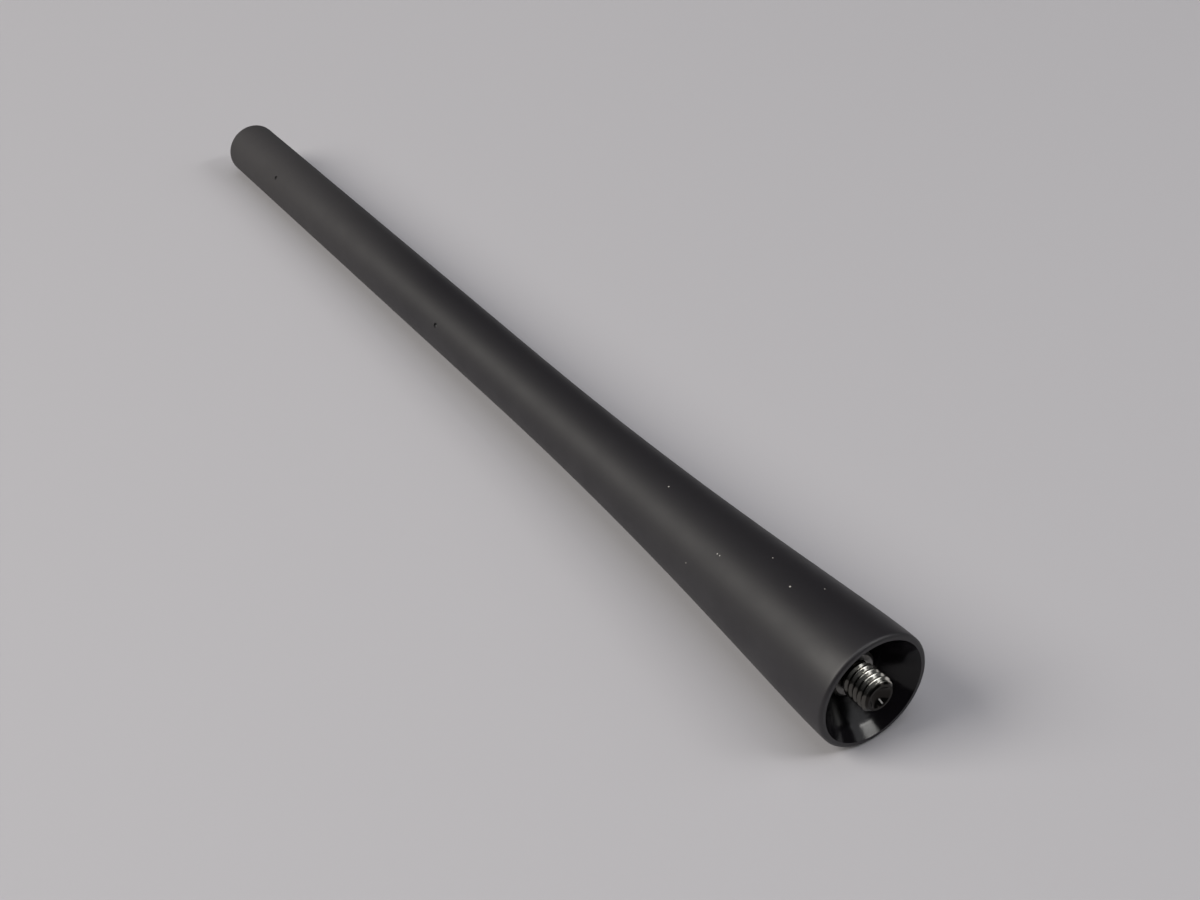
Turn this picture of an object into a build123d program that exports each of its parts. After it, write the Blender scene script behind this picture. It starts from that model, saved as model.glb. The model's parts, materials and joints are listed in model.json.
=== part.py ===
# Car mast aerial: a flexible rubber mast that screws onto a roof base by a threaded stud.
#
# Every piece is drawn about the Z axis, with the rim of the skirt at z = 0 and the tip above it.
# The finished aerial is then laid on its side, resting on the rim and the tip: the stud stands
# proud of the rim, so the aerial can't stand on its foot.
#
# Lengths are in millimetres and angles in degrees.
import os
from math import atan2, cos, degrees, radians, tan

from build123d import *

# Rubber mast, outside
mast_length = 200.0  # from the rim to the tip
rim_dia = 20.0
neck_dia = 11.45  # where the flare has run out into the slim part
neck_height = 97.0
tip_dia = 10.15  # at the foot of the dome
tip_edge_r = 2.0  # the dome is a flat crown with a rounded edge
tip_edge_turn = 65.0  # how far that edge turns before it meets the crown
skirt_pull = 11.5  # how strongly the flare holds to the skirt's upright side
neck_pull = 53.0  # how strongly it holds to the line of the slim part
flare_spans = 6  # of the smooth curve drawn through the flare

# Rubber mast, hollow skirt
lip_r = 0.6  # round on the rim's outer edge
lip_wall = 1.0  # thickness of the skirt at the rim
cavity_depth = 7.0
cavity_land = 0.45  # flat floor between the foot of the cone and the ferrule

# Threaded stud, its thread drawn at the major diameter
thread_dia = 6.0
relief_dia = 4.8  # the thread runs out into this neck beside the collar
relief_length = 0.6
shank_dia = 5.3  # plain, pressed into the ferrule
shank_length = 10.0
stud_proud = 1.45  # past the rim
stud_chamfer = 0.7
cup_dia = 3.8
cup_angle = 90.0

# Ferrule
ferrule_dia = 8.0
ferrule_length = 22.0  # from its end face to the shoulder under the spigot
collar_depth = 4.5  # from the rim to the ferrule's end face
collar_chamfer = 0.5
spigot_length = 6.0
groove_count = 2
groove_width = 1.2
groove_depth = 0.5
groove_spacing = 3.0

# Core rod, winding and sleeve
rod_dia = 5.0
rod_grip = 14.0  # length held in the ferrule
rod_chamfer = 0.3
glue_gap = 0.05  # film of adhesive round the rod
wire_width = 0.5  # square wire
winding_pitch = 11.0
winding_end = 3.0  # bare rod above the last turn
wrap_gap = 0.02  # between the rod and the wire, and between the wire and the sleeve
sleeve_wall = 0.4
sleeve_overhang = 1.0  # past the end of the rod
tip_cover = 9.0  # rubber over the end of the sleeve

# Lying on its side
seam_turn = -5.0

# Radii
rim_r = rim_dia / 2
neck_r = neck_dia / 2
tip_r = tip_dia / 2
crown_r = tip_edge_r + (tip_r - tip_edge_r) / cos(radians(tip_edge_turn))
mouth_r = rim_r - lip_wall
thread_r = thread_dia / 2
relief_r = relief_dia / 2
shank_r = shank_dia / 2
ferrule_r = ferrule_dia / 2
rod_r = rod_dia / 2
winding_r = rod_r + wrap_gap + wire_width / 2
sleeve_inner_r = rod_r + wrap_gap + wire_width + wrap_gap
sleeve_r = sleeve_inner_r + sleeve_wall
spigot_r = sleeve_inner_r - wrap_gap

# Heights above the rim
dome_base = mast_length - crown_r + (tip_r - tip_edge_r) * tan(radians(tip_edge_turn))
thread_top = collar_depth - relief_length
shank_top = collar_depth + shank_length
shoulder = collar_depth + ferrule_length
ferrule_top = shoulder + spigot_length
rod_foot = ferrule_top - rod_grip
sleeve_top = mast_length - tip_cover
rod_top = sleeve_top - sleeve_overhang


def turned(*edges):
    """A solid of revolution about Z from a closed outline in the XZ plane."""
    return revolve(make_face(edges), Axis.Z)


def tube(outer_r, inner_r, bottom, top):
    """A plain tube about Z between two heights."""
    wall = Circle(outer_r) - Circle(inner_r)
    return extrude(Pos(0, 0, bottom) * wall, top - bottom)


def rod(radius, bottom, top):
    """A plain cylinder about Z between two heights."""
    return extrude(Pos(0, 0, bottom) * Circle(radius), top - bottom)


def mast_outside():
    """The outer form: domed tip, slim taper, bell flare and rounded lip, with the foot still closed."""
    taper = (neck_r - tip_r) / (dome_base - neck_height)
    neck = (neck_r, 0, neck_height)
    crown = Plane.XZ * CenterArc((0, mast_length - crown_r), crown_r, tip_edge_turn, 90 - tip_edge_turn)
    edge = Plane.XZ * CenterArc((tip_r - tip_edge_r, dome_base), tip_edge_r, 0, tip_edge_turn)
    slim = Line((tip_r, 0, dome_base), neck)
    guide = Bezier(
        neck,
        (neck_r + taper * neck_pull, 0, neck_height - neck_pull),
        (rim_r, 0, lip_r + skirt_pull),
        (rim_r, 0, lip_r),
    )
    stations = [guide @ (number / flare_spans) for number in range(flare_spans + 1)]
    flare = Spline(*stations, tangents=(guide % 0, guide % 1))
    lip = Plane.XZ * CenterArc((rim_r - lip_r, lip_r), lip_r, -90, 90)
    foot = Line((rim_r - lip_r, 0, 0), (0, 0, 0))
    axis = Line((0, 0, 0), (0, 0, mast_length))
    return turned(crown, edge, slim, flare, lip, foot, axis)


def skirt_hollow():
    """The hollow of the skirt, a wide cone that seats over the boss of the base."""
    floor_r = ferrule_r + cavity_land
    return Cone(mouth_r, floor_r, cavity_depth, align=(Align.CENTER, Align.CENTER, Align.MIN))


def ferrule_blank():
    """The ferrule's outer form: chamfered collar, grooves that key it in the rubber, and spigot."""
    body = rod(ferrule_r, collar_depth, shoulder)
    body = chamfer(body.edges().group_by(Axis.Z)[0], collar_chamfer)
    first_groove = (cavity_depth + shoulder - (groove_count - 1) * groove_spacing - groove_width) / 2
    for number in range(groove_count):
        bottom = first_groove + number * groove_spacing
        body -= tube(ferrule_r + groove_depth, ferrule_r - groove_depth, bottom, bottom + groove_width)
    return body + rod(spigot_r, shoulder, ferrule_top)


def sleeve_blank():
    """The outer form of the shrunk sleeve, closed over the end of the rod."""
    return rod(sleeve_r, shoulder, sleeve_top)


def rubber_sheath():
    """The moulding, shaped by the core that it was moulded round."""
    return mast_outside() - skirt_hollow() - ferrule_blank() - sleeve_blank()


def ferrule():
    """Bored from one end for the stud and from the other for the rod."""
    stud_bore = rod(shank_r, collar_depth, shank_top)
    rod_bore = rod(rod_r + glue_gap, rod_foot, ferrule_top)
    return ferrule_blank() - stud_bore - rod_bore


def threaded_stud():
    """A thread with a chamfered, cupped end, on a plain shank."""
    thread = rod(thread_r, -stud_proud, thread_top)
    thread = chamfer(thread.edges().group_by(Axis.Z)[0], stud_chamfer)
    relief = rod(relief_r, thread_top, collar_depth)
    shank = rod(shank_r, collar_depth, shank_top)
    cup_r = cup_dia / 2
    cup_depth = cup_r / tan(radians(cup_angle / 2))
    cup = Pos(0, 0, -stud_proud) * Cone(cup_r, 0, cup_depth, align=(Align.CENTER, Align.CENTER, Align.MIN))
    return thread + relief + shank - cup


def core_rod():
    """Bottoms in the ferrule and ends short of the tip."""
    core = rod(rod_r, rod_foot, rod_top)
    return chamfer(core.edges().filter_by(GeomType.CIRCLE), rod_chamfer)


def aerial_winding():
    """Square wire wound up the rod from the ferrule's spigot."""
    bottom = ferrule_top + wire_width / 2
    height = rod_top - winding_end - bottom
    path = Helix(winding_pitch, height, winding_r, center=(0, 0, bottom))
    section = Plane(origin=path @ 0, x_dir=(1, 0, 0), z_dir=path % 0) * Rectangle(wire_width, wire_width)
    return sweep(section, path=path, is_frenet=True)


def shrink_sleeve():
    """A thin tube from the ferrule's shoulder, closed over the end of the rod."""
    return sleeve_blank() - rod(sleeve_inner_r, shoulder, rod_top)


nodes = {
    "rubber_sheath": rubber_sheath(),
    "ferrule": ferrule(),
    "threaded_stud": threaded_stud(),
    "core_rod": core_rod(),
    "aerial_winding": aerial_winding(),
    "shrink_sleeve": shrink_sleeve(),
}

# Laid on its side with the tip towards -X, tilted until the rim and the tip both touch the surface,
# and centred over the origin. The seams of its round faces are turned a little off the top.
rest_tilt = degrees(atan2(rim_r - tip_r, dome_base - lip_r))
laid = Rot(0, -90 - rest_tilt, 0) * Rot(0, 0, seam_turn)
outline = Compound([laid * nodes["rubber_sheath"], laid * nodes["threaded_stud"]]).bounding_box()
rest = Pos(-outline.center().X, 0, -outline.min.Z) * laid

os.makedirs("parts", exist_ok=True)
for name, solid in nodes.items():
    export_step(rest * solid, f"parts/{name}.step")
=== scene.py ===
# Car mast aerial, lying on a pale table: a flexible rubber mast with a plated screw-in stud in its skirt.
#
# The turned pieces are drawn upright about Z, with the rim of the skirt at the origin and the tip above
# it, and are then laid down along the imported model's own axis. Lengths are in metres.
import json
import math

import bpy
from bpy.props import FloatProperty, FloatVectorProperty, IntProperty, PointerProperty
from mathutils import Matrix, Quaternion, Vector


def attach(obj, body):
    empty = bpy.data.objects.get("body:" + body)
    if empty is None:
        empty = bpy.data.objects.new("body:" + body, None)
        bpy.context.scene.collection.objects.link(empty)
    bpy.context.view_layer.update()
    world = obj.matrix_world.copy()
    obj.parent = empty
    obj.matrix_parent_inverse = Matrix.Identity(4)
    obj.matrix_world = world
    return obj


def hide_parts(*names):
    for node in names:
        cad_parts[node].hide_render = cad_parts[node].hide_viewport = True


bl_info = {
    "name": "Car Mast Aerial",
    "version": (1, 0, 0),
    "blender": (4, 5, 0),
    "location": "View3D > Sidebar > Aerial",
    "description": "Dresses a screw-in car aerial: rubber mast, threaded stud, ferrule and core",
    "category": "Object",
}

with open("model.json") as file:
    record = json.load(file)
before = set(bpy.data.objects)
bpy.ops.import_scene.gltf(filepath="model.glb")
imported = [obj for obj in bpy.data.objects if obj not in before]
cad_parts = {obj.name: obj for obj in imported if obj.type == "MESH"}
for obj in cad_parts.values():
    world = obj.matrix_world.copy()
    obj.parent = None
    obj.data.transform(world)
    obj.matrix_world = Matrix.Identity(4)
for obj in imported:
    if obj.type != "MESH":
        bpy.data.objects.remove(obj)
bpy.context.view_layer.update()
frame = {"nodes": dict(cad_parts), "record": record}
stud_mount = next(m for m in frame["record"]["mounts"] if m["name"] == "stud")

MM = 0.001
WELD = 0.002 * MM  # points nearer to each other than this become one
SMOOTH = math.radians(35)  # edges that turn less than this are shaded round
THREAD_SMOOTH = math.radians(28)  # the same for the stud
THREAD_EDGE = 0.93  # towards 1, the thread's crests and roots come to a sharp edge
THREAD_EASE = 0.006 * MM  # the crests lie this far inside the blank, so the cut leaves none of its skin
THREAD_STEPS = 24  # from one crest to the next
THREAD_TURNS = 13  # of the rod that shapes the thread, which is longer than the thread
THREAD_LEAD = 3  # turns of that rod below the stud's end
SENSOR_WIDTH = 36  # of the camera, in millimetres
NEAR_CLIP = 0.01  # the camera sees nothing nearer than this
MIX_COLOURS, MIX_RESULT = (6, 7), 2  # sockets of a Mix node for colours, whose names repeat

# Marks on the rubber: distance from the rim, turn about the axis from the top, and size across
PITS = (
    (179.1 * MM, math.radians(-52), 0.8 * MM),
    (116.4 * MM, math.radians(-61), 0.9 * MM),
)
SPECKS = (
    (49.7 * MM, math.radians(-10.6), 0.34 * MM),
    (32.2 * MM, math.radians(-35.5), 0.30 * MM),
    (31.6 * MM, math.radians(-35.3), 0.26 * MM),
    (24.7 * MM, math.radians(0.8), 0.26 * MM),
    (17.7 * MM, math.radians(-13.2), 0.40 * MM),
    (14.0 * MM, math.radians(9.4), 0.26 * MM),
    (36.8 * MM, math.radians(-68.5), 0.24 * MM),
)

# The bright scratch in the stud's cup, and where it fades in: beside its line, and out from the axis
SCRATCH_SIDE = (0.17 * MM, 0.09 * MM)
SCRATCH_START = (1.05 * MM, 1.2 * MM)
SCRATCH_END = (1.85 * MM, 1.7 * MM)

# Finishes. A random field has so many blotches to the metre, a relief is the depth of its bumps, and a
# span is where a change starts and ends. Roughness is given for both ends of a span.
FIELD_SPAN = (0.3, 0.7)  # takes in most of a field's values

RUBBER_BLOTCHES, RUBBER_GRAIN = 160, 5200
BLOTCH_RELIEF, GRAIN_RELIEF = 0.012 * MM, 0.006 * MM
BLOOM_SPAN = (0.38, 0.68)  # of the blotches, from black to greyed
FADED_SPAN = (125 * MM, 185 * MM)  # from the rim, up to the pale tip
RUBBED_SPAN = (40 * MM, 12 * MM)  # from the rim, down to the smoother foot
RUBBER_ROUGH = (0.59, 0.51)
FADED_ROUGH = 0.22  # more than that at the tip
RUBBED_ROUGH = 0.05  # less than that at the foot
RUBBER_GLOSS = 0.68

HOLLOW_HAZE = 700
HAZE_RELIEF = 0.004 * MM
HOLLOW_SPAN = (2 * MM, 6 * MM)  # from the rim, down to the duller floor
HOLLOW_ROUGH = (0.13, 0.24)
HAZE_ROUGH = 0.04  # more than that where it is hazy
HOLLOW_GLOSS = 0.24

STUD_SMUDGES = 1500
SMUDGE_RELIEF = 0.0015 * MM
STUD_ROUGH = (0.12, 0.24)
SCRATCH_ROUGH = 0.45
ROOT_SHADE = 0.12 * MM  # height of the painted shade in the thread's roots
SIDE_SHADE = (0.7 * MM, 2.1 * MM)  # from the axis, out to the side darkened with painted shade
SIDE_UNSHADED = 0.1  # share of the plate that still shows through that painted shade

LATHE_RINGS, FERRULE_STAINS = 9000, 700
RING_RELIEF = 0.01 * MM
STAIN_SPAN = (0.35, 0.65)
STAIN_SHADE = 0.55  # of the clean plate's colour
FERRULE_ROUGH = (0.45, 0.3)

ROD_FIBRES = 6000
FIBRE_STRETCH = (0.02, 1, 1)  # draws the fibres out along the rod
FIBRE_RELIEF = 0.01 * MM
ROD_ROUGH = 0.42

WIRE_MARKS = 3000
WIRE_ROUGH = (0.22, 0.38)
ENAMEL = 0.6  # weight of the clear coat

SLEEVE_WRINKLES = 900
WRINKLE_RELIEF = 0.03 * MM
SLEEVE_ROUGH = (0.32, 0.48)

TABLE_CLOUDS = 3
CLOUD_SHADE = 1.04  # of the table's colour
TABLE_ROUGH = 0.7

# Lamps: name, power in watts, width, height, turns in degrees and colour. The turns are the azimuth
# from +X towards +Y, the elevation and the roll.
LAMPS = (
    ("left_lamp", 33.5, 1.1, 1.1, (250, 39, 0), (1.0, 0.97, 0.91)),
    ("right_lamp", 5.6, 1.2, 1.2, (54, 42, 0), (0.96, 0.97, 1.0)),
    ("strip_lamp", 6.2, 0.85, 0.18, (37, 46.5, -25), (1.0, 0.99, 0.96)),
    ("top_lamp", 11.5, 1.6, 1.6, (0, 84, 0), (0.95, 0.96, 1.0)),
)


def length(name, description, default):
    """A length that the user can change."""
    return FloatProperty(name=name, description=description, default=default, min=0, unit="LENGTH")


def angle(name, description, degrees):
    """An angle that the user can change."""
    return FloatProperty(name=name, description=description, default=math.radians(degrees), subtype="ANGLE")


def colour(name, description, default):
    """A colour that the user can change."""
    return FloatVectorProperty(
        name=name, description=description, default=default, size=3, min=0, max=1, subtype="COLOR"
    )


class MastSettings(bpy.types.PropertyGroup):
    """Sizes and colours of the rubber mast."""

    length: length("Length", "From the rim to the tip", 199.99 * MM)
    rim_diameter: length("Rim diameter", "Outside of the skirt at its foot", 19.98 * MM)
    neck_diameter: length("Neck diameter", "Where the flare has run out into the slim part", 11.45 * MM)
    neck_height: length("Neck height", "From the rim to the neck", 97 * MM)
    tip_diameter: length("Tip diameter", "At the foot of the dome", 10.15 * MM)
    tip_edge: length("Tip edge", "Radius of the dome's rounded edge", 2 * MM)
    tip_edge_turn: angle("Tip edge turn", "How far that edge turns before it meets the crown", 65)
    skirt_pull: length("Skirt pull", "How strongly the flare holds to the skirt's upright side", 11.5 * MM)
    neck_pull: length("Neck pull", "How strongly it holds to the line of the slim part", 53 * MM)
    lip_round: length("Lip round", "Round on the rim's outer edge", 0.6 * MM)
    lip_wall: length("Lip wall", "Thickness of the skirt at the rim", 1 * MM)
    hollow_depth: length("Hollow depth", "From the rim to the floor of the skirt's hollow", 7 * MM)
    hollow_land: length("Hollow land", "Flat floor between the hollow's cone and the ferrule", 0.45 * MM)
    mouth_depth: length("Mouth depth", "Band at the hollow's mouth that leans further out", 1.8 * MM)
    mouth_lean: angle("Mouth lean", "Lean of that band from the axis", 38)
    sleeve_diameter: length("Sleeve diameter", "Outside of the core's shrunk sleeve", 6.88 * MM)
    tip_cover: length("Tip cover", "Rubber over the end of the sleeve", 9 * MM)
    sides: IntProperty(name="Sides", description="Faces round the mast", default=192, min=24)
    black: colour("Black", "Colour of the rubber", (0.0060, 0.0046, 0.0068))
    bloom: colour("Bloom", "Colour where the rubber has greyed", (0.0092, 0.0078, 0.0098))
    paler: colour("Paler", "Colour of the handled tip", (0.027, 0.0245, 0.026))
    # Darker than the outside rubber: painted shade in the skirt's hollow
    hollow_shaded_black: colour("Hollow black", "Colour of the rubber in the hollow", (0.0030, 0.0026, 0.0030))
    dust: colour("Dust", "Colour of the specks of dust", (0.42, 0.40, 0.37))


class StudSettings(bpy.types.PropertyGroup):
    """Sizes and colours of the threaded stud."""

    thread_diameter: length("Thread diameter", "Over the crests", 2 * stud_mount["dims"]["r_mm"] * MM)
    thread_pitch: length("Thread pitch", "From crest to crest", 1 * MM)
    thread_depth: length("Thread depth", "From crest to root", 0.45 * MM)
    proud: length("Proud", "How far the stud stands past the rim", 1.45 * MM)
    chamfer: length("Chamfer", "On the stud's end", 0.7 * MM)
    cup_diameter: length("Cup diameter", "Across the cup in the end", 3.8 * MM)
    cup_angle: angle("Cup angle", "Between the cup's sides", 90)
    relief_diameter: length("Relief diameter", "Neck that the thread runs out into", 4.8 * MM)
    relief_length: length("Relief length", "Length of that neck", 0.6 * MM)
    shank_diameter: length("Shank diameter", "Plain part in the ferrule", 5.3 * MM)
    shank_length: length("Shank length", "Length of that plain part", 10 * MM)
    sides: IntProperty(name="Sides", description="Faces round the stud", default=96, min=24)
    # The side of the stud that is darkened with painted shade, turned from the top
    shade_turn: angle("Grime turn", "Side of the stud where dirt has gathered, from the top", -100)
    scratch_turn: angle("Scratch turn", "Turn of the bright scratch in the cup, from the top", 158)
    plate: colour("Plate", "Colour of the bright plate", (0.74, 0.72, 0.65))
    scratch: colour("Scratch", "Colour of the scratch", (0.95, 0.94, 0.90))
    # Dirt on the stud's end and in its cup; the same colour paints shade in the thread's roots and on one
    # side
    grime_and_shade: colour("Grime", "Colour of the dirt in the thread", (0.024, 0.022, 0.020))


class FerruleSettings(bpy.types.PropertyGroup):
    """Sizes and colours of the ferrule that holds the stud and the core."""

    diameter: length("Diameter", "Over the collar", 8 * MM)
    collar_depth: length("Collar depth", "From the rim to the collar's face", 4.5 * MM)
    collar_chamfer: length("Collar chamfer", "On the collar's edge", 0.5 * MM)
    length: length("Length", "From the collar's face to the shoulder", 22 * MM)
    groove_count: IntProperty(name="Grooves", description="Grooves that key it in the rubber", default=2)
    groove_width: length("Groove width", "Width of each groove", 1.2 * MM)
    groove_depth: length("Groove depth", "Depth of each groove", 0.5 * MM)
    groove_spacing: length("Groove spacing", "From groove to groove", 3 * MM)
    spigot_diameter: length("Spigot diameter", "Above the shoulder", 6.04 * MM)
    spigot_length: length("Spigot length", "Above the shoulder", 6 * MM)
    rod_bore: length("Rod bore", "Bore for the core rod", 5.1 * MM)
    rod_grip: length("Rod grip", "Depth of that bore", 14 * MM)
    sides: IntProperty(name="Sides", description="Faces round the ferrule", default=96, min=24)
    plate: colour("Plate", "Colour of the dull plate", (0.30, 0.29, 0.275))


class CoreSettings(bpy.types.PropertyGroup):
    """Colours of the hidden core, two for each piece."""

    fibre: colour("Fibre", "Colour of the glass-fibre rod", (0.60, 0.57, 0.44))
    pale_fibre: colour("Pale fibre", "Colour of its paler fibres", (0.78, 0.76, 0.66))
    copper: colour("Copper", "Colour of the winding", (0.52, 0.19, 0.07))
    pale_copper: colour("Pale copper", "Colour of its drawing marks", (0.68, 0.32, 0.16))
    sleeve: colour("Sleeve", "Colour of the shrunk sleeve", (0.022, 0.022, 0.024))
    pale_sleeve: colour("Pale sleeve", "Colour of its wrinkles", (0.05, 0.05, 0.052))


class StageSettings(bpy.types.PropertyGroup):
    """The table, the light and the camera."""

    table: colour("Table", "Colour of the table", (0.488, 0.478, 0.500))
    table_size: length("Table size", "Side of the table", 6)
    lamp_distance: length("Lamp distance", "From the middle of the table to each lamp", 2)
    sky: FloatProperty(name="Sky", description="Strength of the light from all round", default=0.05)
    sky_colour: colour("Sky colour", "Colour of the light from all round", (0.93, 0.95, 1.0))
    camera_place: FloatVectorProperty(
        name="Camera place",
        description="Where the camera stands",
        default=(0.27272, -0.16554, 0.23936),
        subtype="TRANSLATION",
    )
    camera_azimuth: angle("Camera azimuth", "Turn of the view from +Y towards -X", 55.92)
    camera_elevation: angle("Camera elevation", "How far the view looks down", 37.98)
    lens: FloatProperty(name="Lens", description="Focal length", default=67.5, unit="CAMERA")


def arc(centre_r, centre_z, radius, start, end, steps):
    """Points (radius, height) along an arc of an outline, between two angles."""
    turns = [start + (end - start) * step / steps for step in range(steps + 1)]
    return [(centre_r + radius * math.cos(turn), centre_z + radius * math.sin(turn)) for turn in turns]


def line(start, end, steps):
    """Points along a straight stretch of an outline."""
    (r0, z0), (r1, z1) = start, end
    shares = [step / steps for step in range(steps + 1)]
    return [(r0 + (r1 - r0) * share, z0 + (z1 - z0) * share) for share in shares]


def bezier(p0, p1, p2, p3, steps):
    """Points along a cubic curve of an outline."""
    points = []
    for step in range(steps + 1):
        t = step / steps
        weights = ((1 - t) ** 3, 3 * t * (1 - t) ** 2, 3 * t**2 * (1 - t), t**3)
        points.append(tuple(sum(w * p[k] for w, p in zip(weights, (p0, p1, p2, p3))) for k in (0, 1)))
    return points


def joined(*stretches):
    """One outline from several stretches, without the points that two of them share."""
    outline = []
    for stretch in stretches:
        for point in stretch:
            if not outline or math.dist(outline[-1], point) > WELD:
                outline.append(point)
    return outline


def draw_outline(name, outline):
    """A new mesh with a chain of edges along an outline of (radius, height) points, left in edit mode."""
    bpy.ops.object.select_all(action="DESELECT")
    bpy.ops.mesh.primitive_plane_add(size=MM)
    piece = bpy.context.object
    piece.name = name
    bpy.ops.object.mode_set(mode="EDIT")
    bpy.ops.mesh.merge(type="CENTER")
    bpy.ops.transform.translate(value=(outline[0][0], 0, outline[0][1]))
    for (r0, z0), (r1, z1) in zip(outline, outline[1:]):
        bpy.ops.mesh.extrude_vertices_move(TRANSFORM_OT_translate={"value": (r1 - r0, 0, z1 - z0)})
    bpy.ops.mesh.select_all(action="SELECT")
    return piece


def tidy_mesh():
    """Merges doubled points and turns all faces outwards, then leaves edit mode."""
    bpy.ops.mesh.select_all(action="SELECT")
    bpy.ops.mesh.remove_doubles(threshold=WELD)
    bpy.ops.mesh.normals_make_consistent(inside=False)
    bpy.ops.object.mode_set(mode="OBJECT")


def turned(name, outline, sides):
    """A piece turned about Z from an outline that starts and ends on the axis or closes on itself."""
    piece = draw_outline(name, outline)
    bpy.ops.mesh.spin(steps=sides, angle=math.tau, center=(0, 0, 0), axis=(0, 0, 1))
    tidy_mesh()
    return piece


def cut(piece, cutter):
    """Takes the cutter's volume out of the piece and removes the cutter."""
    modifier = piece.modifiers.new("Cut", "BOOLEAN")
    modifier.operation = "DIFFERENCE"
    modifier.solver = "EXACT"
    modifier.object = cutter
    bpy.context.view_layer.objects.active = piece
    bpy.ops.object.modifier_apply(modifier=modifier.name)
    bpy.data.objects.remove(cutter)


def laid_frame(scene):
    """Where the upright drawing goes: its origin to the rim's centre, its Z towards the tip."""
    stud, ferrule = scene.aerial_stud, scene.aerial_ferrule
    out = Vector(stud_mount["axis"]).normalized()
    thread_start = stud.chamfer - stud.proud
    thread_end = ferrule.collar_depth - stud.relief_length
    rim = Vector(stud_mount["pos_m"]) + out * (thread_start + thread_end) / 2
    tilt = math.atan2(out.z, out.x)
    return Matrix.Translation(rim) @ Matrix.Rotation(-math.pi / 2 - tilt, 4, "Y")


def lay_down(context, piece, node, smooth):
    """Lays an upright piece where its node lies, smooths it and hands it to the frame."""
    piece.matrix_world = laid_frame(context.scene)
    bpy.ops.object.select_all(action="DESELECT")
    piece.select_set(True)
    context.view_layer.objects.active = piece
    bpy.ops.object.transform_apply(location=True, rotation=True, scale=True)
    bpy.ops.object.shade_smooth_by_angle(angle=smooth)
    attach(piece, "root")
    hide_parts(node)


def tip_outline(mast):
    """The dome: a flat crown with a rounded edge, from the axis out to the foot of the dome."""
    tip_r = mast.tip_diameter / 2
    inner = tip_r - mast.tip_edge
    crown_r = mast.tip_edge + inner / math.cos(mast.tip_edge_turn)
    foot = mast.length - crown_r + inner * math.tan(mast.tip_edge_turn)
    crown = arc(0, mast.length - crown_r, crown_r, math.pi / 2, mast.tip_edge_turn, steps=10)
    edge = arc(inner, foot, mast.tip_edge, mast.tip_edge_turn, 0, steps=14)
    return joined(crown, edge)


def mast_outside(mast):
    """The outside of the mast: dome, slim taper, bell flare and rounded lip."""
    tip = tip_outline(mast)
    foot = tip[-1]
    neck_r, rim_r = mast.neck_diameter / 2, mast.rim_diameter / 2
    neck = (neck_r, mast.neck_height)
    taper = (neck_r - foot[0]) / (foot[1] - mast.neck_height)
    neck_hold = (neck_r + taper * mast.neck_pull, mast.neck_height - mast.neck_pull)
    rim_hold = (rim_r, mast.lip_round + mast.skirt_pull)
    rim = (rim_r, mast.lip_round)
    slim = line(foot, neck, steps=48)
    flare = bezier(neck, neck_hold, rim_hold, rim, steps=64)
    lip = arc(rim_r - mast.lip_round, mast.lip_round, mast.lip_round, 0, -math.pi / 2, steps=12)
    return joined(tip, slim, flare, lip)


def ferrule_outside(ferrule, hollow_depth):
    """The outside of the ferrule: chamfered collar, grooves and spigot, from the collar's face up."""
    r = ferrule.diameter / 2
    shoulder = ferrule.collar_depth + ferrule.length
    inset = ferrule.collar_chamfer
    outline = [(r - inset, ferrule.collar_depth), (r, ferrule.collar_depth + inset)]
    pattern = (ferrule.groove_count - 1) * ferrule.groove_spacing + ferrule.groove_width
    first = (hollow_depth + shoulder - pattern) / 2
    for number in range(ferrule.groove_count):
        low = first + number * ferrule.groove_spacing
        high = low + ferrule.groove_width
        root = r - ferrule.groove_depth
        outline += [(r, low), (root, low), (root, high), (r, high)]
    spigot_r = ferrule.spigot_diameter / 2
    return outline + [(r, shoulder), (spigot_r, shoulder), (spigot_r, shoulder + ferrule.spigot_length)]


def mast_inside(mast, ferrule):
    """The inside of the mast: the skirt's hollow, then the shape of the core that it was moulded round."""
    ferrule_r, sleeve_r = ferrule.diameter / 2, mast.sleeve_diameter / 2
    mouth = (mast.rim_diameter / 2 - mast.lip_wall, 0)
    floor = (ferrule_r + mast.hollow_land, mast.hollow_depth)
    band = (mouth[0] - mast.mouth_depth * math.tan(mast.mouth_lean), mast.mouth_depth)
    wall = joined(line(mouth, band, steps=5), line(band, floor, steps=10))
    shoulder = ferrule.collar_depth + ferrule.length
    keyed = [p for p in ferrule_outside(ferrule, mast.hollow_depth) if mast.hollow_depth < p[1] < shoulder]
    core_end = mast.length - mast.tip_cover
    core = [(ferrule_r, shoulder), (sleeve_r, shoulder), (sleeve_r, core_end), (0, core_end)]
    return joined(wall, [(ferrule_r, mast.hollow_depth)], keyed, core)


def surface_point(mast, along, turn):
    """A point on the outside of the mast, in the upright drawing."""
    outline = mast_outside(mast)
    upper = min((p for p in outline if p[1] >= along), key=lambda p: p[1])
    lower = max((p for p in outline if p[1] < along), key=lambda p: p[1])
    share = (along - lower[1]) / (upper[1] - lower[1])
    r = lower[0] + (upper[0] - lower[0]) * share
    return Vector((r * math.cos(turn), r * math.sin(turn), along))


def new_material(name):
    """A new node material, with its tree and its shader."""
    material = bpy.data.materials.new(name)
    material.use_nodes = True
    tree = material.node_tree
    return material, tree, tree.nodes["Principled BSDF"]


def connect(tree, value, socket):
    """Feeds a node's input from another node's output, or sets it to a plain value."""
    if isinstance(value, bpy.types.NodeSocket):
        tree.links.new(value, socket)
    else:
        socket.default_value = value


def feed(tree, node, **inputs):
    """Feeds some of a node's inputs, each by its name."""
    for name, value in inputs.items():
        connect(tree, value, node.inputs[name.replace("_", " ")])


def add_node(tree, kind, **inputs):
    """A new node with some of its inputs fed."""
    node = tree.nodes.new(kind)
    feed(tree, node, **inputs)
    return node


def object_point(tree):
    """The point on the piece, in the row frame."""
    return add_node(tree, "ShaderNodeTexCoord").outputs["Object"]


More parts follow.
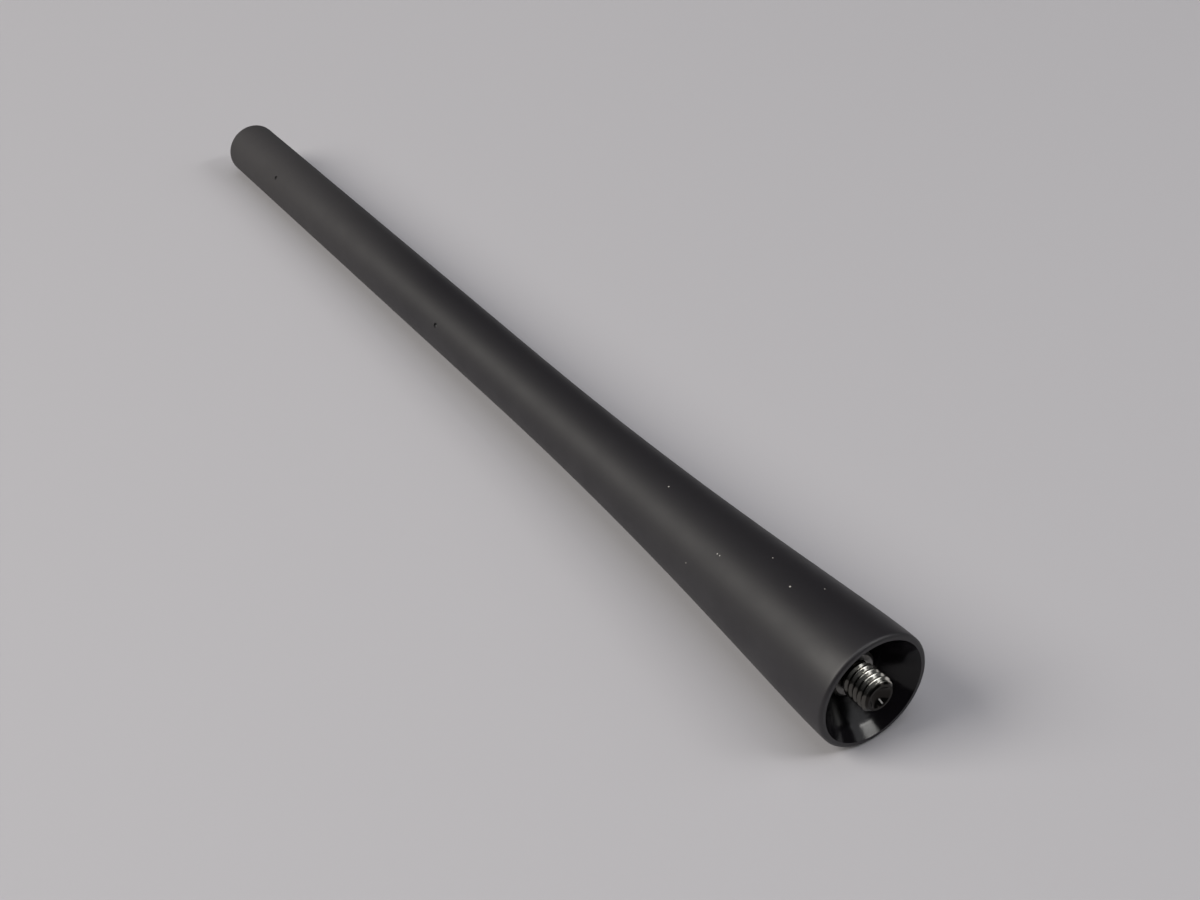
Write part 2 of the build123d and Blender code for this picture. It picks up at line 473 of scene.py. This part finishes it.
def noise(tree, point, scale, detail=2.0, roughness=0.5):
    """A soft random field, with so many blotches to the metre."""
    node = add_node(
        tree, "ShaderNodeTexNoise", Vector=point, Scale=scale, Detail=detail, Roughness=roughness
    )
    return node.outputs["Fac"]


def spread(tree, value, low, high, to_low=0.0, to_high=1.0):
    """Maps a value from one range to another, held at its ends."""
    node = add_node(
        tree, "ShaderNodeMapRange", Value=value, From_Min=low, From_Max=high, To_Min=to_low, To_Max=to_high
    )
    return node.outputs["Result"]


def calculate(tree, operation, first, second=0.0):
    """A sum on two values, the second a value or a plain number."""
    node = tree.nodes.new("ShaderNodeMath")
    node.operation = operation
    connect(tree, first, node.inputs[0])
    connect(tree, second, node.inputs[1])
    return node.outputs["Value"]


def vector_sum(tree, operation, first, second=(0, 0, 0)):
    """The node of a sum on a vector and a fixed one."""
    node = tree.nodes.new("ShaderNodeVectorMath")
    node.operation = operation
    connect(tree, first, node.inputs[0])
    connect(tree, second, node.inputs[1])
    return node


def blended(tree, share, first, second):
    """A colour between two colours, each a plain colour or a node's output."""
    node = tree.nodes.new("ShaderNodeMix")
    node.data_type = "RGBA"
    connect(tree, share, node.inputs["Factor"])
    for index, value in zip(MIX_COLOURS, (first, second)):
        plain = not isinstance(value, bpy.types.NodeSocket)
        connect(tree, (*value, 1) if plain else value, node.inputs[index])
    return node.outputs[MIX_RESULT]


def split(tree, vector, axis):
    """One of a vector's three parts."""
    return add_node(tree, "ShaderNodeSeparateXYZ", Vector=vector).outputs[axis]


def distance_from(tree, point, place):
    """How far a point is from a fixed place."""
    return vector_sum(tree, "DISTANCE", point, place).outputs["Value"]


def measured(tree, vector, direction):
    """How far a vector reaches in a fixed direction."""
    return vector_sum(tree, "DOT_PRODUCT", vector, direction).outputs["Value"]


def upright_point(tree, point, scene):
    """The point in the upright drawing, where Z runs along the mast from the rim."""
    back = laid_frame(scene).inverted()
    node = add_node(
        tree, "ShaderNodeMapping", Vector=point, Location=back.to_translation(), Rotation=back.to_euler()
    )
    return node.outputs["Vector"]


def axis_distance(tree, upright):
    """How far a point of the upright drawing is from the mast's axis."""
    flat = vector_sum(tree, "MULTIPLY", upright, (1, 1, 0)).outputs["Vector"]
    return vector_sum(tree, "LENGTH", flat).outputs["Value"]


def scratch_mask(tree, upright, stud):
    """One on the bright scratch down the side of the stud's cup, nought elsewhere."""
    turn = stud.scratch_turn
    outwards = measured(tree, upright, (math.cos(turn), math.sin(turn), 0))
    beside = measured(tree, upright, (-math.sin(turn), math.cos(turn), 0))
    mask = spread(tree, calculate(tree, "ABSOLUTE", beside), *SCRATCH_SIDE)
    for span in (SCRATCH_START, SCRATCH_END):
        mask = calculate(tree, "MULTIPLY", mask, spread(tree, outwards, *span))
    return mask


def bump(tree, height, depth, normal=None):
    """A bump of the given depth from a field of heights, on top of another bump if there is one."""
    node = add_node(tree, "ShaderNodeBump", Strength=1.0, Distance=depth, Height=height)
    if normal:
        feed(tree, node, Normal=normal)
    return node.outputs["Normal"]


def rubber_material(scene):
    """Matte moulded rubber: fine grain, faint blotches, a paler and duller tip, and specks of dust."""
    mast = scene.aerial_mast
    material, tree, shader = new_material("matte_rubber")
    point = object_point(tree)
    height = split(tree, upright_point(tree, point, scene), "Z")
    blotches = noise(tree, point, RUBBER_BLOTCHES, detail=3.0, roughness=0.55)
    grain = noise(tree, point, RUBBER_GRAIN, roughness=0.6)
    faded = spread(tree, height, *FADED_SPAN)
    bloomed = blended(tree, spread(tree, blotches, *BLOOM_SPAN), mast.black, mast.bloom)
    rubber = blended(tree, faded, bloomed, mast.paler)

    dust = None
    for along, turn, size in SPECKS:
        place = laid_frame(scene) @ surface_point(mast, along, turn)
        speck = spread(tree, distance_from(tree, point, place), size / 2, size / 4)
        dust = calculate(tree, "MAXIMUM", dust, speck) if dust else speck

    matte = spread(tree, blotches, *FIELD_SPAN, *RUBBER_ROUGH)
    worn = calculate(tree, "ADD", matte, calculate(tree, "MULTIPLY", faded, FADED_ROUGH))
    rubbed = spread(tree, height, *RUBBED_SPAN, 0.0, RUBBED_ROUGH)
    lumps = bump(tree, blotches, BLOTCH_RELIEF)
    feed(
        tree,
        shader,
        Base_Color=blended(tree, dust, rubber, mast.dust),
        Roughness=calculate(tree, "SUBTRACT", worn, rubbed),
        Specular_IOR_Level=RUBBER_GLOSS,
        Normal=bump(tree, grain, GRAIN_RELIEF, lumps),
    )
    return material


def hollow_material(scene):
    """The hollow of the skirt: black, darker than the outside as painted shade, smooth from the pin that
    formed it and duller towards its floor.
    """
    mast = scene.aerial_mast
    material, tree, shader = new_material("hollow_rubber")
    point = object_point(tree)
    height = split(tree, upright_point(tree, point, scene), "Z")
    haze = noise(tree, point, HOLLOW_HAZE, detail=3.0)
    polish = spread(tree, height, *HOLLOW_SPAN, *HOLLOW_ROUGH)
    dull = spread(tree, haze, *FIELD_SPAN, 0.0, HAZE_ROUGH)
    feed(
        tree,
        shader,
        Base_Color=blended(tree, haze, mast.hollow_shaded_black, mast.black),
        Roughness=calculate(tree, "ADD", polish, dull),
        Specular_IOR_Level=HOLLOW_GLOSS,
        Normal=bump(tree, haze, HAZE_RELIEF),
    )
    return material


def bright_plate_material(scene):
    """Bright nickel plate with a dirty end, painted shade in the thread's roots and on one side, and a
    scratch in the cup.
    """
    stud = scene.aerial_stud
    material, tree, shader = new_material("bright_plate")
    point = object_point(tree)
    upright = upright_point(tree, point, scene)
    # Below the roots' radius: dirt on the stud's end and in its cup; the band just above it is painted
    # shade in the thread's roots
    root = stud.thread_diameter / 2 - stud.thread_depth
    above_root = spread(tree, axis_distance(tree, upright), root, root + ROOT_SHADE)
    # Painted shade on one side of the stud, which leaves a share of the plate showing
    aside = measured(tree, upright, (math.cos(stud.shade_turn), math.sin(stud.shade_turn), 0))
    clean_and_unshaded = calculate(tree, "MULTIPLY", above_root, spread(tree, aside, *SIDE_SHADE, 1.0, SIDE_UNSHADED))
    plate = blended(tree, clean_and_unshaded, stud.grime_and_shade, stud.plate)
    scratch = scratch_mask(tree, upright, stud)
    smudge = noise(tree, point, STUD_SMUDGES, detail=3.0)
    polish = spread(tree, smudge, *FIELD_SPAN, *STUD_ROUGH)
    rough = calculate(tree, "MULTIPLY", scratch, SCRATCH_ROUGH)
    feed(
        tree,
        shader,
        Base_Color=blended(tree, scratch, plate, stud.scratch),
        Roughness=calculate(tree, "MAXIMUM", polish, rough),
        Metallic=1.0,
        Normal=bump(tree, smudge, SMUDGE_RELIEF),
    )
    return material


def dull_plate_material(scene):
    """Dull plate, stained, with the lathe's fine rings on it."""
    material, tree, shader = new_material("dull_plate")
    point = object_point(tree)
    radius = axis_distance(tree, upright_point(tree, point, scene))
    rings = noise(tree, radius, LATHE_RINGS, detail=1.0)
    stain = noise(tree, point, FERRULE_STAINS, detail=3.0)
    plate = scene.aerial_ferrule.plate
    stained = tuple(STAIN_SHADE * channel for channel in plate)
    feed(
        tree,
        shader,
        Base_Color=blended(tree, spread(tree, stain, *STAIN_SPAN), stained, plate),
        Roughness=spread(tree, stain, *FIELD_SPAN, *FERRULE_ROUGH),
        Metallic=1.0,
        Normal=bump(tree, rings, RING_RELIEF),
    )
    return material


def glass_fibre_material(core):
    """Pale glass-fibre rod with its fibres running along it."""
    material, tree, shader = new_material("glass_fibre")
    stretched = add_node(tree, "ShaderNodeMapping", Vector=object_point(tree), Scale=FIBRE_STRETCH)
    fibres = noise(tree, stretched.outputs["Vector"], ROD_FIBRES)
    feed(
        tree,
        shader,
        Base_Color=blended(tree, fibres, core.fibre, core.pale_fibre),
        Roughness=ROD_ROUGH,
        Normal=bump(tree, fibres, FIBRE_RELIEF),
    )
    return material


def copper_wire_material(core):
    """Enamelled copper wire with drawing marks."""
    material, tree, shader = new_material("enamelled_copper")
    marks = noise(tree, object_point(tree), WIRE_MARKS, detail=3.0)
    feed(
        tree,
        shader,
        Base_Color=blended(tree, marks, core.copper, core.pale_copper),
        Roughness=spread(tree, marks, *FIELD_SPAN, *WIRE_ROUGH),
        Metallic=1.0,
        Coat_Weight=ENAMEL,
    )
    return material


def shrink_tube_material(core):
    """Shrunk plastic tube, faintly wrinkled."""
    material, tree, shader = new_material("shrink_tube")
    wrinkles = noise(tree, object_point(tree), SLEEVE_WRINKLES, detail=3.0)
    feed(
        tree,
        shader,
        Base_Color=blended(tree, wrinkles, core.sleeve, core.pale_sleeve),
        Roughness=spread(tree, wrinkles, *FIELD_SPAN, *SLEEVE_ROUGH),
        Normal=bump(tree, wrinkles, WRINKLE_RELIEF),
    )
    return material


def table_material(stage):
    """Pale matte table top, faintly clouded."""
    material, tree, shader = new_material("pale_table")
    clouds = noise(tree, object_point(tree), TABLE_CLOUDS)
    paler = tuple(CLOUD_SHADE * channel for channel in stage.table)
    feed(tree, shader, Base_Color=blended(tree, clouds, stage.table, paler), Roughness=TABLE_ROUGH)
    return material


def dress(piece, *materials):
    """Gives a piece its materials, and shows the first of them all over."""
    piece.data.materials.clear()
    for material in materials:
        piece.data.materials.append(material)


class AERIAL_OT_rubber_mast(bpy.types.Operator):
    """Turn the rubber mast with its flare and hollow skirt, and prick its pits"""

    bl_idname = "aerial.rubber_mast"
    bl_label = "Rubber Mast"

    def line_hollow(self, piece, mast):
        """Gives the wall and floor of the skirt's hollow the second material."""
        mouth_r = mast.rim_diameter / 2 - mast.lip_wall
        bpy.ops.object.mode_set(mode="EDIT")
        bpy.ops.mesh.select_mode(type="FACE")
        bpy.ops.mesh.select_all(action="DESELECT")
        bpy.ops.object.mode_set(mode="OBJECT")
        for face in piece.data.polygons:
            x, y, z = face.center
            face.select = math.hypot(x, y) < mouth_r and z < mast.hollow_depth + WELD
        bpy.ops.object.mode_set(mode="EDIT")
        piece.active_material_index = 1
        bpy.ops.object.material_slot_assign()
        bpy.ops.mesh.select_mode(type="VERT")
        bpy.ops.object.mode_set(mode="OBJECT")

    def execute(self, context):
        scene = context.scene
        mast = scene.aerial_mast
        outline = joined(mast_outside(mast), mast_inside(mast, scene.aerial_ferrule))
        piece = turned("rubber_mast", outline, mast.sides)
        for along, turn, size in PITS:
            bpy.ops.object.select_all(action="DESELECT")
            place = surface_point(mast, along, turn)
            bpy.ops.mesh.primitive_ico_sphere_add(subdivisions=3, radius=size / 2, location=place)
            cut(piece, context.object)
        dress(piece, rubber_material(scene), hollow_material(scene))
        self.line_hollow(piece, mast)
        lay_down(context, piece, "rubber_sheath", SMOOTH)
        return {"FINISHED"}


class AERIAL_OT_threaded_stud(bpy.types.Operator):
    """Turn the stud's blank with its chamfer, cup and shank, and cut the thread in it"""

    bl_idname = "aerial.threaded_stud"
    bl_label = "Threaded Stud"

    def blank(self, stud, collar_depth):
        """The turned blank, from the bottom of the cup to the top of the shank."""
        crest, cup_r = stud.thread_diameter / 2, stud.cup_diameter / 2
        relief_r, shank_r = stud.relief_diameter / 2, stud.shank_diameter / 2
        end = -stud.proud
        cup_depth = cup_r / math.tan(stud.cup_angle / 2)
        thread_end = collar_depth - stud.relief_length
        shank_end = collar_depth + stud.shank_length
        outline = [
            (0, end + cup_depth),
            (cup_r, end),
            (crest - stud.chamfer, end),
            (crest, end + stud.chamfer),
            (crest, thread_end - (crest - relief_r)),
            (relief_r, thread_end),
            (relief_r, collar_depth),
            (shank_r, collar_depth),
            (shank_r, shank_end),
            (0, shank_end),
        ]
        return turned("stud_threaded", outline, stud.sides)

    def thread_form(self, stud):
        """A long rod with the thread's rounded crests and roots, past both ends of the stud's thread."""
        crest, pitch = stud.thread_diameter / 2 - THREAD_EASE, stud.thread_pitch
        foot = -stud.proud - THREAD_LEAD * pitch
        least = math.acos(THREAD_EDGE)
        scale = (stud.thread_depth - THREAD_EASE) / (math.pi - 2 * least)
        wave = []
        for step in range(THREAD_STEPS + 1):
            share = step / THREAD_STEPS
            fall = scale * (math.acos(THREAD_EDGE * math.cos(math.tau * share)) - least)
            wave.append((crest - fall, foot + pitch * share))
        form = draw_outline("thread_form", wave)
        bpy.ops.object.mode_set(mode="OBJECT")
        screw = form.modifiers.new("Wind", "SCREW")
        screw.screw_offset = pitch
        screw.iterations = THREAD_TURNS
        screw.steps = screw.render_steps = stud.sides
        bpy.ops.object.modifier_apply(modifier=screw.name)
        bpy.ops.object.mode_set(mode="EDIT")
        bpy.ops.mesh.select_all(action="SELECT")
        bpy.ops.mesh.remove_doubles(threshold=WELD)
        bpy.ops.mesh.select_all(action="DESELECT")
        bpy.ops.mesh.select_non_manifold()
        bpy.ops.mesh.extrude_edges_move()
        bpy.ops.mesh.merge(type="COLLAPSE")
        tidy_mesh()
        return form

    def die(self, stud, collar_depth):
        """What the thread takes off the blank: a thick ring with the thread's form through it."""
        bottom, top = -stud.proud - stud.thread_pitch, collar_depth - stud.relief_length
        outer = stud.thread_diameter
        ring = turned("die", [(0, bottom), (outer, bottom), (outer, top), (0, top)], stud.sides)
        cut(ring, self.thread_form(stud))
        return ring

    def execute(self, context):
        scene = context.scene
        stud, collar_depth = scene.aerial_stud, scene.aerial_ferrule.collar_depth
        piece = self.blank(stud, collar_depth)
        cut(piece, self.die(stud, collar_depth))
        bpy.ops.object.mode_set(mode="EDIT")
        bpy.ops.mesh.select_all(action="SELECT")
        bpy.ops.mesh.dissolve_degenerate(threshold=WELD)
        tidy_mesh()
        lay_down(context, piece, "threaded_stud", THREAD_SMOOTH)
        dress(piece, bright_plate_material(scene))
        return {"FINISHED"}


class AERIAL_OT_ferrule(bpy.types.Operator):
    """Turn the ferrule with its collar, grooves, spigot and two bores"""

    bl_idname = "aerial.ferrule"
    bl_label = "Ferrule"

    def execute(self, context):
        scene = context.scene
        ferrule, stud = scene.aerial_ferrule, scene.aerial_stud
        stud_r, rod_r = stud.shank_diameter / 2, ferrule.rod_bore / 2
        top = ferrule.collar_depth + ferrule.length + ferrule.spigot_length
        rod_foot = top - ferrule.rod_grip
        stud_end = ferrule.collar_depth + stud.shank_length
        outside = ferrule_outside(ferrule, scene.aerial_mast.hollow_depth)
        bores = [
            (rod_r, top),
            (rod_r, rod_foot),
            (0, rod_foot),
            (0, stud_end),
            (stud_r, stud_end),
            (stud_r, ferrule.collar_depth),
        ]
        piece = turned("ferrule_turned", joined(outside, bores, outside[:1]), ferrule.sides)
        lay_down(context, piece, "ferrule", SMOOTH)
        dress(piece, dull_plate_material(scene))
        return {"FINISHED"}


class AERIAL_OT_core(bpy.types.Operator):
    """Finish the hidden core: the rod, the winding on it and the shrunk sleeve over both"""

    bl_idname = "aerial.core"
    bl_label = "Core"

    def execute(self, context):
        core, nodes = context.scene.aerial_core, frame["nodes"]
        dress(nodes["core_rod"], glass_fibre_material(core))
        dress(nodes["aerial_winding"], copper_wire_material(core))
        dress(nodes["shrink_sleeve"], shrink_tube_material(core))
        return {"FINISHED"}


class AERIAL_OT_stage(bpy.types.Operator):
    """Set the table, the light and the camera"""

    bl_idname = "aerial.stage"
    bl_label = "Stage"

    def table(self, context, stage):
        """A broad pale table top under the aerial."""
        bpy.ops.object.select_all(action="DESELECT")
        bpy.ops.mesh.primitive_plane_add(size=stage.table_size)
        table = context.object
        table.name = "table"
        dress(table, table_material(stage))

    def lamp(self, distance, name, power, width, height, turns, tint):
        """A soft box that faces the middle of the table."""
        azimuth, elevation, roll = (math.radians(degrees) for degrees in turns)
        level = math.cos(elevation)
        towards = Vector((level * math.cos(azimuth), level * math.sin(azimuth), math.sin(elevation)))
        turn = (-towards).to_track_quat("-Z", "Y") @ Quaternion((0, 0, 1), roll)
        bpy.ops.object.light_add(type="AREA", location=towards * distance, rotation=turn.to_euler())
        lamp = bpy.context.object
        lamp.name = name
        lamp.data.shape = "RECTANGLE"
        lamp.data.size, lamp.data.size_y = width, height
        lamp.data.energy = power
        lamp.data.color = tint

    def camera(self, context, stage):
        """The photograph's view."""
        azimuth, elevation = stage.camera_azimuth, stage.camera_elevation
        level = math.cos(elevation)
        ahead = Vector((-math.sin(azimuth) * level, math.cos(azimuth) * level, -math.sin(elevation)))
        turn = ahead.to_track_quat("-Z", "Y")
        bpy.ops.object.camera_add(location=stage.camera_place, rotation=turn.to_euler())
        camera = context.object
        camera.name = "photo_view"
        camera.data.lens = stage.lens
        camera.data.sensor_width = SENSOR_WIDTH
        camera.data.clip_start = NEAR_CLIP
        context.scene.camera = camera

    def execute(self, context):
        scene = context.scene
        stage = scene.aerial_stage
        self.table(context, stage)
        for row in LAMPS:
            self.lamp(stage.lamp_distance, *row)
        world = bpy.data.worlds.new("room")
        world.use_nodes = True
        tree = world.node_tree
        feed(tree, tree.nodes["Background"], Color=(*stage.sky_colour, 1), Strength=stage.sky)
        scene.world = world
        scene.view_settings.view_transform = "Standard"
        self.camera(context, stage)
        return {"FINISHED"}


class AERIAL_PT_panel(bpy.types.Panel):
    """Lists the aerial's pieces and their sizes"""

    bl_idname = "AERIAL_PT_panel"
    bl_label = "Car Mast Aerial"
    bl_space_type = "VIEW_3D"
    bl_region_type = "UI"
    bl_category = "Aerial"

    def draw(self, context):
        for operator, group in PIECES:
            box = self.layout.box()
            box.operator(operator.bl_idname)
            settings = getattr(context.scene, group)
            for name in settings.__annotations__:
                box.prop(settings, name)


SETTINGS = {
    "aerial_mast": MastSettings,
    "aerial_stud": StudSettings,
    "aerial_ferrule": FerruleSettings,
    "aerial_core": CoreSettings,
    "aerial_stage": StageSettings,
}
PIECES = (
    (AERIAL_OT_rubber_mast, "aerial_mast"),
    (AERIAL_OT_threaded_stud, "aerial_stud"),
    (AERIAL_OT_ferrule, "aerial_ferrule"),
    (AERIAL_OT_core, "aerial_core"),
    (AERIAL_OT_stage, "aerial_stage"),
)
CLASSES = (*SETTINGS.values(), *(operator for operator, group in PIECES), AERIAL_PT_panel)


def register():
    """Registers the settings, the operators and the panel."""
    for cls in CLASSES:
        bpy.utils.register_class(cls)
    for name, group in SETTINGS.items():
        setattr(bpy.types.Scene, name, PointerProperty(type=group))


def unregister():
    """Takes them out again."""
    for name in SETTINGS:
        delattr(bpy.types.Scene, name)
    for cls in reversed(CLASSES):
        bpy.utils.unregister_class(cls)


def main():
    """Builds the aerial and its stage."""
    register()
    bpy.ops.aerial.rubber_mast()
    bpy.ops.aerial.threaded_stud()
    bpy.ops.aerial.ferrule()
    bpy.ops.aerial.core()
    bpy.ops.aerial.stage()


if __name__ == "__main__":
    main()
